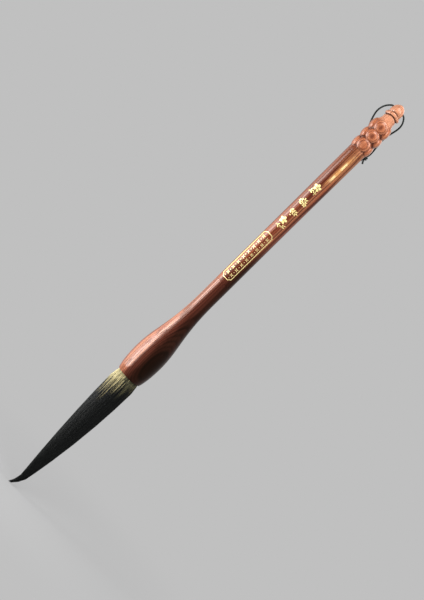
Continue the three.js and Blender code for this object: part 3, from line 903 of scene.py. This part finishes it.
# %% Finishes
class Finish:
    """A net of nodes under construction, for a material or for the world."""

    def __init__(self, name, kept_in=bpy.data.materials):
        self.owner = kept_in.new(name)
        self.owner.use_nodes = True
        self.net = self.owner.node_tree
        self.net.nodes.clear()

    def node(self, kind, settings=None, inputs=None, output=0):
        """Adds a node with these settings and inputs, and returns one of its outputs as a Wire."""
        made = self.net.nodes.new("ShaderNode" + kind)
        for name, value in (settings or {}).items():
            setattr(made, name, value)
        for name, value in (inputs or {}).items():
            socket = made.inputs[name]
            if isinstance(value, Wire):
                self.net.links.new(value.socket, socket)
            elif socket.type == "RGBA":
                socket.default_value = (*value, 1)
            else:
                socket.default_value = value
        return Wire(self, made.outputs[output])

    def mix(self, share, first, second, how="MIX"):
        """A colour between two colours."""
        return self.node("Mix", {"data_type": "RGBA", "blend_type": how},
                         {0: share, 6: first, 7: second}, output=2)

    def place(self):
        """Where a point is on the brush, in mm: its spot as a vector, and its x, y and z."""
        coordinates = self.node("TexCoord", output="Object")
        spot = self.node("VectorMath", {"operation": "SCALE"}, {0: coordinates, "Scale": 1 / mm})
        x, y, z = (self.node("SeparateXYZ", {}, {0: spot}, output=axis) for axis in range(3))
        return SimpleNamespace(spot=spot, x=x, y=y, z=z)

    def noise(self, here, across, along, detail=1, roughness=0.5, away=0.0):
        """Cloudy noise with this many waves to a mm across and along the handle. away moves it."""
        drawn_out = self.node("VectorMath", {"operation": "MULTIPLY_ADD"},
                              {0: here.spot, 1: (across, across, along), 2: (away, away, 0)})
        return self.node("TexNoise", {}, {"Vector": drawn_out, "Scale": 1.0, "Detail": detail,
                                          "Roughness": roughness})

    def surface(self, inputs):
        """Closes the finish with one Principled shader."""
        return self.closed(self.node("BsdfPrincipled", {}, inputs))

    def closed(self, shader, end="OutputMaterial"):
        """Joins the last shader to the output, and returns the material or the world."""
        output = self.net.nodes.new("ShaderNode" + end)
        self.net.links.new(shader.socket, output.inputs["Surface"])
        return self.owner


def dress(piece, material):
    piece.data.materials.clear()
    piece.data.materials.append(material)
    print(f"{piece.name} is dressed in {material.name}, {len(material.node_tree.nodes)} nodes")


# %% [markdown]
# ## Rosewood
#
# Rosewood is red to dark brown, with growth layers that show as fine dark lines and with long
# streaks and pores along the grain. A turned or carved surface cuts through the layers, so a bulge
# shows them as nested ovals and a straight rod shows them as stripes. The pattern is therefore
# made in space and not on the surface: each point's colour comes from its distance to the pith of
# the tree it was cut from. A clear lacquer lies over it as the shader's coat, thinner over the
# dark, open streaks.

# %% Grain
line_shade = (0.3, 0.2, 0.2)  # what a growth line leaves of the wood's colour


def rosewood(finish, pith, layer, crowding, waver, tones, streaks, coat, patches, away=0.0):
    """The wood's colour, and how much lacquer stands on it.

    pith: x and y of the tree's middle, in mm. layer: mm between growth lines at the handle's axis,
    and crowding draws them together further out. waver: how far the layers stray from true rings,
    in mm. tones: light, middle and dark colours. streaks, coat: how strong the dark streaks and the
    lacquer are. patches: each is a rule that gives 1 where it holds, how strongly it shows, its
    colour, and the share of the polish that it keeps. away: moves the streaks."""
    light, middle, dark = tones
    here = finish.place()
    stray = (finish.noise(here, 0.22, 0.02) - 0.5) * (2 * waver)
    from_pith = ((here.x - pith[0]) ** 2 + (here.y - pith[1]) ** 2) ** 0.5
    here.outward = from_pith + stray - math.hypot(*pith)  # mm beyond the handle's axis
    phase = here.outward * (1 + crowding * here.outward) / layer
    year_tone = finish.node("TexWhiteNoise", {"noise_dimensions": "1D"}, {"W": phase.math("FLOOR")})
    growth = phase.math("FRACT")
    line = growth.rise(0.25, 0.75) * (1 - growth.rise(0.85, 1.0)) * (0.35 + 0.6 * year_tone)
    here.streak = finish.noise(here, 1.0, 0.011, 3, 0.65, away)
    vein = here.streak.rise(0.48, 0.55) * streaks
    broad = finish.noise(here, 0.45, 0.012).rise(0.38, 0.62)
    pores = finish.noise(here, 6.0, 0.09).rise(0.58, 0.75)
    colour = finish.mix(vein, finish.mix(broad, light, middle), dark)
    polish = coat * (1 - 0.65 * vein) * (1 - 0.5 * line)
    for rule, strength, tone, kept in patches:
        share = rule(here) * strength
        colour = finish.mix(share, colour, tone)
        polish = polish * (1 - (1 - kept) * share)
    colour = finish.mix(line, colour, finish.mix(1.0, colour, line_shade, "MULTIPLY"))
    return finish.mix(pores * 0.15, colour, tuple(0.4 * part for part in dark)), polish


# %% Lacquer
glossy, satin = 0.12, 0.33  # how widely a lacquer spreads a reflection


def lacquered(finish, colour, polish, gloss_width):
    """Wood of this colour under a clear lacquer that stands a little uneven."""
    unevenness = finish.noise(finish.place(), 0.8, 0.06)
    lacquer = finish.node("Bump", {}, {"Strength": 0.2, "Distance": 0.05 * mm, "Height": unevenness})
    return finish.surface({"Base Color": colour, "Roughness": 0.3 - 0.05 * polish, "Normal": lacquer,
                           "Specular IOR Level": 0.2, "Specular Tint": (1.0, 0.56, 0.36),
                           "Coat Weight": polish, "Coat Roughness": gloss_width, "Coat IOR": 1.7})


# %% [markdown]
# ## Wood of the bell
#
# The bell is red wood on its left, and reaches into nearly black heartwood on its right. That black
# is partly the wood and partly painted shade on the side away from the lamps. The pith lay behind it
# and to the left, so the belly cuts the outermost layers in an oval at its front right. Such tones
# could be painted by hand on an unwrapped skin. Rules in space have no seam, and they go on into the
# shaft without a break.

# %% Bell's rosewood
bell_tones = ((0.42, 0.150, 0.068), (0.31, 0.09, 0.040), (0.065, 0.014, 0.008))
red_heart, dark_heart_and_shade = (0.075, 0.016, 0.008), (0.018, 0.0047, 0.0027)
dark_oval = (0.004, 0.001, 0.0006)


def toward_heart_and_shade(here):
    """How far a place lies towards the heartwood, in mm, and with it the painted shade. It is darkest to
    the right of the bell, away from the lamps, and runs out along the shaft."""
    receding = 1.3 * here.z.rise(-50, -20) + 4.5 * here.z.rise(-5, 55)
    return here.x * 0.95 - here.y * 0.15 - receding + 4 * (here.streak - 0.5)


def red_heartwood(here):
    return toward_heart_and_shade(here).rise(-3.9, -1.6)


# Painted shade in part: the near-black of the heartwood is laid darker on the side away from the lamps.
def dark_heartwood_and_shade(here):
    return toward_heart_and_shade(here).rise(-1.2, 2.6)


def outermost_layers(here):
    """1 in the oval at the front right of the belly."""
    return here.outward.rise(8.2, 8.8) * here.x.rise(-2, 0)


def bell_finish():
    finish = Finish("bell_rosewood")
    patches = [(red_heartwood, 1.0, red_heart, 0.3), (dark_heartwood_and_shade, 1.0, dark_heart_and_shade, 0.06),
               (outermost_layers, 1.0, dark_oval, 0.1)]
    wood = rosewood(finish, pith=(-28, 36), layer=1.06, crowding=0.033, waver=0.4, tones=bell_tones,
                    streaks=0.6, coat=0.76, patches=patches, away=21.7)
    return lacquered(finish, *wood, glossy)


dress(bell, bell_finish())

# %% [markdown]
# ## Wood of the shaft
#
# The shaft lies far from its pith, so the layers run up it as nearly straight lines. Its foot goes
# on with the bell's heartwood and painted shade. Towards the top its front and right are painted
# lighter, as painted light from the right, and the front shows a dark stripe beside a short streak
# of pale sapwood. A pale stripe up the right of the front is a painted highlight. Each tone is again
# a rule in space. A stripe's edge follows the noise of the streaks, so that it wavers with the grain
# and isn't ruled straight.

# %% Tones along the shaft
shaft_tones = ((0.26, 0.055, 0.016), (0.16, 0.029, 0.009), (0.045, 0.009, 0.0045))
orange_wood, top_light_tone, highlight_pink = (0.36, 0.11, 0.040), (0.50, 0.20, 0.08), (0.60, 0.25, 0.12)
dark_vein = (0.085, 0.013, 0.005)


def stripe(here, middle, half_width, blur):
    """1 in a stripe up the shaft's front that wavers as the grain does."""
    aside = here.x - middle + 3.5 * (here.streak - 0.5)
    return (1 - (aside / half_width).math("ABSOLUTE").rise(1 - blur, 1)) * (1 - here.y.rise(-1, 0))


def left_and_back(here):
    """1 on the foot's left and back, where the shaft is as light as the bell, and half that above."""
    beside = (-1 * here.x).rise(2, 4.5).math("MAXIMUM", here.y.rise(0, 3))
    return (1 - 0.5 * here.z.rise(-5, 60)) * beside


# Painted light: the top of the shaft is made lighter at its front and right, where light from the right
# falls.
def painted_light_top(here):
    return here.z.rise(68, 88) * here.x.rise(-3.5, -0.5)


# Painted highlight: a pale stripe up the front, right of the middle, where a second reflection runs.
def painted_highlight_stripe(here):
    return stripe(here, 1.7, 1.4, 0.7) * here.z.rise(15, 30)


def dark_stripe(here):
    return stripe(here, -1.5, 1.6, 0.6) * here.z.rise(50, 68) * (1 - 0.6 * here.z.rise(84, 92))


def red_foot(here):
    return red_heartwood(here) * (1 - here.z.rise(-5, 30))


# %% Sapwood
sapwood_gold, sapwood_bright = (0.76, 0.38, 0.13), (1.0, 0.80, 0.40)


def sap_streak(here, half_width, blur):
    """1 in the short streak of sapwood near the top of the shaft, and less in its darker fibres."""
    wander = here.streak - 0.5
    ends = (here.z + 50 * wander).rise(73, 80) * (1 - (here.z + 30 * wander).rise(91, 98))
    fibre = (here.streak * 14 + here.x * 0.5 + here.z * 0.07).math("PINGPONG", 0.5)
    return stripe(here, 1.2, half_width, blur) * ends * (1 - 0.6 * fibre.rise(0.28, 0.42))


def sapwood(here):
    return sap_streak(here, 1.6, 0.35)


def bright_sapwood(here):
    """1 in two places of the streak, one above the other."""
    bright = ((here.z - 74.5) / 9.5).math("PINGPONG", 0.5).rise(0.15, 0.35)
    return sap_streak(here, 1.0, 0.7) * bright


# %% Shaft's rosewood
shaft_patches = [
    (left_and_back, 0.7, orange_wood, 1.0),
    (painted_light_top, 0.4, top_light_tone, 1.0),
    (painted_highlight_stripe, 0.35, highlight_pink, 1.0),
    (dark_stripe, 0.85, dark_vein, 0.35),
    (red_foot, 1.0, red_heart, 0.3),
    (dark_heartwood_and_shade, 1.0, dark_heart_and_shade, 0.1),
    (sapwood, 0.9, sapwood_gold, 1.0),
    (bright_sapwood, 0.9, sapwood_bright, 1.0),
]


def shaft_rosewood(finish):
    return rosewood(finish, pith=(-60, 20), layer=1.5, crowding=0.05, waver=1.2, tones=shaft_tones,
                    streaks=0.8, coat=0.55, patches=shaft_patches)


def shaft_finish():
    finish = Finish("shaft_rosewood")
    return lacquered(finish, *shaft_rosewood(finish), glossy)


dress(shaft, shaft_finish())

# %% [markdown]
# ## Wood of the finial
#
# The finial is lighter wood with a satin lacquer. Its pith lay straight behind it, so the lumps at
# the front and back show small rings round an eye. The creases and the two grooves at the collar are
# painted dark as painted shade, with less lacquer there, and the neck and knob are painted lighter as
# a painted highlight from the light above. The plain stem below the lumps has the shaft's wood, so
# this finish mixes two woods by one mask that follows the lowest crease. Two materials on one piece
# would meet in a jagged edge of faces instead.

# %% Places on the finial
stem_top, stem_wave = 180.9, 0.95  # the lowest crease's middle height, and how far it waves
eye_height, eye_tops = (188.2, 188.8), (6.2, 6.5)  # the low tier stands out less than those above it
crease_radius = 5.65
# the grooves under and over the collar, which get painted shade
shaded_grooves = ((collar_foot - 0.1, 0.7), (knob_foot, 0.4))  # each one's height and half width


def above_mouth(here):
    """Height in mm above the bell's mouth."""
    return here.z - mouth / mm


def to_the_side(here):
    """1 at the finial's sides and -1 at its front and back, as its creases and collar wave."""
    across, through = here.x**2, here.y**2
    return (across - through) / (across + through)


def carved(here):
    """1 on the carved lumps and above, and 0 on the plain stem below them."""
    return (above_mouth(here) - stem_top + stem_wave * to_the_side(here)).rise(-0.1, 0.25)


def eye(here):
    """Up to 1 where the gouge grazes the outermost layers, a little to one side of a lump's top."""
    low, high = eye_tops
    top = low + (high - low) * above_mouth(here).rise(*eye_height)
    return (here.y.math("ABSOLUTE") - 0.13 * here.x - top + 0.9 * (here.streak - 0.5)).rise(-0.5, 0.2)


# Painted highlight: the neck and knob are made lighter, for the light that falls on them from above.
def neck_and_knob(here):
    return above_mouth(here).rise(200, 203)


def shade_in_creases(here):
    """1 in the creases between the lumps and in the two grooves at the collar: painted shade where they
    lie in shadow.
    """
    height = above_mouth(here)
    deep = (crease_radius - (here.x**2 + here.y**2) ** 0.5).rise(0.0, 0.5)
    creases = deep * (1 - height.rise(195.5, 197)) * height.rise(180, 181)
    collar = height + collar_wave * to_the_side(here)
    under, over = (1 - (collar - groove).math("ABSOLUTE").rise(0.12, width)
                   for groove, width in shaded_grooves)
    return creases + under + over


# %% Finial's rosewood
finial_tones = ((0.53, 0.185, 0.080), (0.42, 0.120, 0.045), (0.16, 0.034, 0.012))
# The last colour here is painted shade for the creases and collar grooves.
cut_eye, neck_highlight_tone, crease_shade_tone = (0.20, 0.046, 0.018), (0.88, 0.43, 0.25), (0.07, 0.014, 0.006)


def finial_finish():
    finish = Finish("finial_rosewood")
    stem, stem_polish = shaft_rosewood(finish)
    patches = [(eye, 0.55, cut_eye, 1.0), (neck_and_knob, 0.5, neck_highlight_tone, 1.0),
               (shade_in_creases, 0.9, crease_shade_tone, 0.3)]
    top, top_polish = rosewood(finish, pith=(-0.5, 60), layer=0.75, crowding=0.0, waver=0.25,
                               tones=finial_tones, streaks=0.15, coat=0.65, patches=patches)
    share = carved(finish.place())
    polish = stem_polish + (top_polish - stem_polish) * share
    return lacquered(finish, finish.mix(share, stem, top), polish, satin)


dress(finial, finial_finish())

# %% [markdown]
# ## Inked hair
#
# The hair is cream at the roots, and the ink has risen from the tip, further in some hairs than in
# others. Higher ink and darker roots on the right, the side away from the lamps, are partly ink and
# partly painted shade. One colour ramp down the head would give a band with a straight edge. Each
# hair carries a number of its own instead, its tone, and that number sets how high the ink stands in
# it and how dark its root is. Wet hair is only a little glossy.

# %% Hair finish
ink_edge = 7  # mm in which a hair goes from clean to black
cream_hair = ((0.62, 0.54, 0.30), (0.30, 0.25, 0.12))
# the second root colours are dark stain and painted shade together
stained_and_shaded_hair = ((0.030, 0.030, 0.015), (0.17, 0.155, 0.08))
black_hair = ((0.003, 0.0035, 0.0033), (0.008, 0.009, 0.0085))


def hair_finish():
    finish = Finish("inked_hair")
    here = finish.place()
    tone = finish.node("Attribute", {"attribute_name": "tone"}, output="Fac")
    second = (tone * 7.31).math("FRACT")  # two more numbers of each hair's own, out of its tone
    third = (tone * 23.7).math("FRACT")
    depth = mouth / mm - here.z  # mm below the bell's mouth
    cloud = finish.noise(here, 0.35, 0.05)
    # Partly painted shade: the ink is set higher and the roots darker on the right, away from the lamps.
    ink_and_shade_on_right = (here.x / 5.5 + 2.2 * (cloud - 0.5)).rise(-0.9, 0.9)  # the ink has crept up the right
    lock = finish.noise(here, 1.3, 0.03).rise(0.38, 0.62)
    start = 1.5 + 13 * second**2 + 4 * (lock - 0.5) - 6 * ink_and_shade_on_right  # the depth at which its ink begins
    ink = ((depth - start) / ink_edge).rise(0, 1)
    dirt_and_shade = ink_and_shade_on_right + 0.8 * (third - 0.5) + 0.55 * (0.5 - lock)
    cream, stained_and_shaded = finish.mix(second, *cream_hair), finish.mix(third, *stained_and_shaded_hair)
    root = finish.mix(dirt_and_shade.rise(0.1, 0.6), cream, stained_and_shaded)
    return finish.surface({"Base Color": finish.mix(ink, root, finish.mix(third, *black_hair)),
                           "Roughness": 0.55 - 0.15 * ink, "Specular IOR Level": 0.2})


hair_material = hair_finish()
for hairs in (mantle, belly_hair, core_hair):
    dress(hairs, hair_material)

# %% [markdown]
# ## Gold leaf
#
# Gold leaf is metal, but so thin and so full of small folds that it shines more like silk than
# like a mirror. Pure metal would reflect the pale studio and lose its yellow, so half of it here is
# plain yellow colour. Where it has been rubbed thin, the wood shows through.

# %% Gilt finish
worn_gold = (0.42, 0.17, 0.05)


def two_toned(finish, across, along, detail, first, second):
    """Cloudy noise, and the colour that it makes between two colours."""
    cloud = finish.noise(finish.place(), across, along, detail)
    return cloud, finish.mix(cloud, first, second)


def gilt_finish():
    finish = Finish("gold_leaf")
    wear = finish.noise(finish.place(), 2.2, 1.6, 3, 0.7).rise(0.62, 0.72)
    fold, gold = two_toned(finish, 0.9, 0.9, 2, (1.0, 0.76, 0.26), (1.0, 0.90, 0.45))
    return finish.surface({"Base Color": finish.mix(wear * 0.6, gold, worn_gold),
                           "Metallic": 0.5 - 0.4 * wear, "Roughness": 0.3 + 0.25 * fold})


dress(gilding, gilt_finish())

# %% [markdown]
# ## Cord, thread and resin
#
# Three small finishes are left: dark braided cord, pale waxed thread and brown resin. The braid and
# the turns of thread are real shapes already, so their colours only have to vary as fibres and
# clouds do. Noise between two colours is enough for each.

# %% Small finishes
def cord_finish():
    finish = Finish("dark_cord")
    fibre, dark = two_toned(finish, 14, 14, 2, (0.006, 0.009, 0.008), (0.020, 0.028, 0.026))
    return finish.surface({"Base Color": dark, "Roughness": 0.75 - 0.2 * fibre,
                           "Specular IOR Level": 0.3})


def thread_finish():
    finish = Finish("waxed_thread")
    _, pale = two_toned(finish, 6, 22, 2, (0.42, 0.34, 0.20), (0.72, 0.64, 0.45))
    return finish.surface({"Base Color": pale, "Roughness": 0.6})


def resin_finish():
    finish = Finish("brush_resin")
    cloud, brown = two_toned(finish, 0.5, 0.5, 3, (0.06, 0.018, 0.004), (0.20, 0.075, 0.018))
    return finish.surface({"Base Color": brown, "Roughness": 0.15 + 0.2 * cloud, "Coat Weight": 0.6})


cord_material = cord_finish()
dress(cord_loop, cord_material)
dress(knot, cord_material)
dress(binding, thread_finish())
dress(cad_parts["root_resin"], resin_finish())

# %% [markdown]
# ## Floor and air
#
# The brush stands over a plain pale floor that runs on into a background of the same grey. Paper
# under lamps would be brightest below them, so the floor is half paper, which takes the brush's
# shadow, and half a glow in the background's colour, and from 20 cm out it is all glow. Only the
# camera and reflections see the glow, so it shines on nothing. The air is the background's grey to
# them as well, and an even, weak light to everything else.

# %% Floor
backdrop = (0.527, 0.527, 0.527)
paper_colour = (0.32, 0.32, 0.32)
glow_starts, glow_full = 20, 200  # mm from the handle's axis


def floor_finish():
    finish = Finish("pale_floor")
    here = finish.place()
    seen, glossy_ray, through = (finish.node("LightPath", output=f"Is {ray} Ray")
                                 for ray in ("Camera", "Glossy", "Transmission"))
    looked_at = seen.math("MAXIMUM", glossy_ray.math("MAXIMUM", through))
    far = ((here.x**2 + here.y**2) ** 0.5).rise(glow_starts, glow_full)
    paper = finish.node("BsdfDiffuse", {}, {"Color": paper_colour})
    glow = finish.node("Emission", {}, {"Color": backdrop, "Strength": 1.0})
    share = (0.5 + 0.5 * far) * looked_at
    return finish.closed(finish.node("MixShader", {}, {0: share, 1: paper, 2: glow}))


pick()
bpy.ops.mesh.primitive_circle_add(vertices=96, radius=20, fill_type="TRIFAN",
                                  location=(0, 0, cad_box[0].z))
floor = bpy.context.object
floor.name = "floor"
dress(floor, floor_finish())

# %% Air
def air_finish():
    finish = Finish("studio_air", kept_in=bpy.data.worlds)
    seen = finish.node("LightPath", output="Is Camera Ray")
    looked_at = seen.math("MAXIMUM", finish.node("LightPath", output="Is Glossy Ray"))
    colour = finish.mix(looked_at, (0.26, 0.26, 0.27), backdrop)
    return finish.closed(finish.node("Background", {}, {"Color": colour}), "OutputWorld")


bpy.context.scene.world = air_finish()
print("the air is", bpy.context.scene.world.name)

# %% [markdown]
# ## Lamps
#
# A lacquered rod mirrors its lamps as long stripes, so where the lamps stand decides where its
# highlights lie. A bank and a strip close by on the left make the broad highlight along the bell, and
# a weak lamp behind them draws the left edge. The key light comes from above the camera, and two more
# keep the right side and the back from going black. All six are softboxes, that is area lamps,
# because a point lamp would leave a hard dot instead of a stripe.

# %% Softboxes
def softbox(name, azimuth, elevation, distance, width, tall, strength, aim=0.0):
    """An area lamp that faces the handle at height aim. Azimuth 0 is at the camera's side, and it
    grows towards the brush's left. Strength 1 is as bright as white paper in full light."""
    turn, lift = math.radians(azimuth), math.radians(elevation)
    away = Vector((-math.sin(turn) * math.cos(lift), -math.cos(turn) * math.cos(lift), math.sin(lift)))
    bpy.ops.object.light_add(type="AREA")
    lamp = bpy.context.object
    lamp.name = name
    lamp.data.shape = "RECTANGLE"
    lamp.data.size, lamp.data.size_y = width, tall
    lamp.data.energy = strength * width * tall * math.pi
    lamp.visible_camera = False
    across = Vector((0, 0, 1)).cross(away).normalized()
    facing = Matrix((across, away.cross(across), away)).transposed().to_4x4()
    lamp.matrix_world = Matrix.Translation(Vector((0, 0, aim)) + away * distance) @ facing
    print(f"{name}: {lamp.data.energy:.2f} W")


softbox("left_bank", 71, 0, distance=0.22, width=0.29, tall=0.22, strength=3.8, aim=-0.055)
softbox("left_strip", 69, 0, distance=0.21, width=0.10, tall=0.24, strength=4.6, aim=-0.045)
softbox("left_rim", 119, 0, distance=0.3, width=0.13, tall=0.36, strength=0.9, aim=-0.02)
softbox("key_light", 0, 58, distance=0.9, width=0.5, tall=0.5, strength=9.5)
softbox("right_fill", -60, 35, distance=0.9, width=0.5, tall=0.5, strength=6.5)
softbox("back_bank", 205, 25, distance=1.0, width=0.9, tall=0.9, strength=0.8)
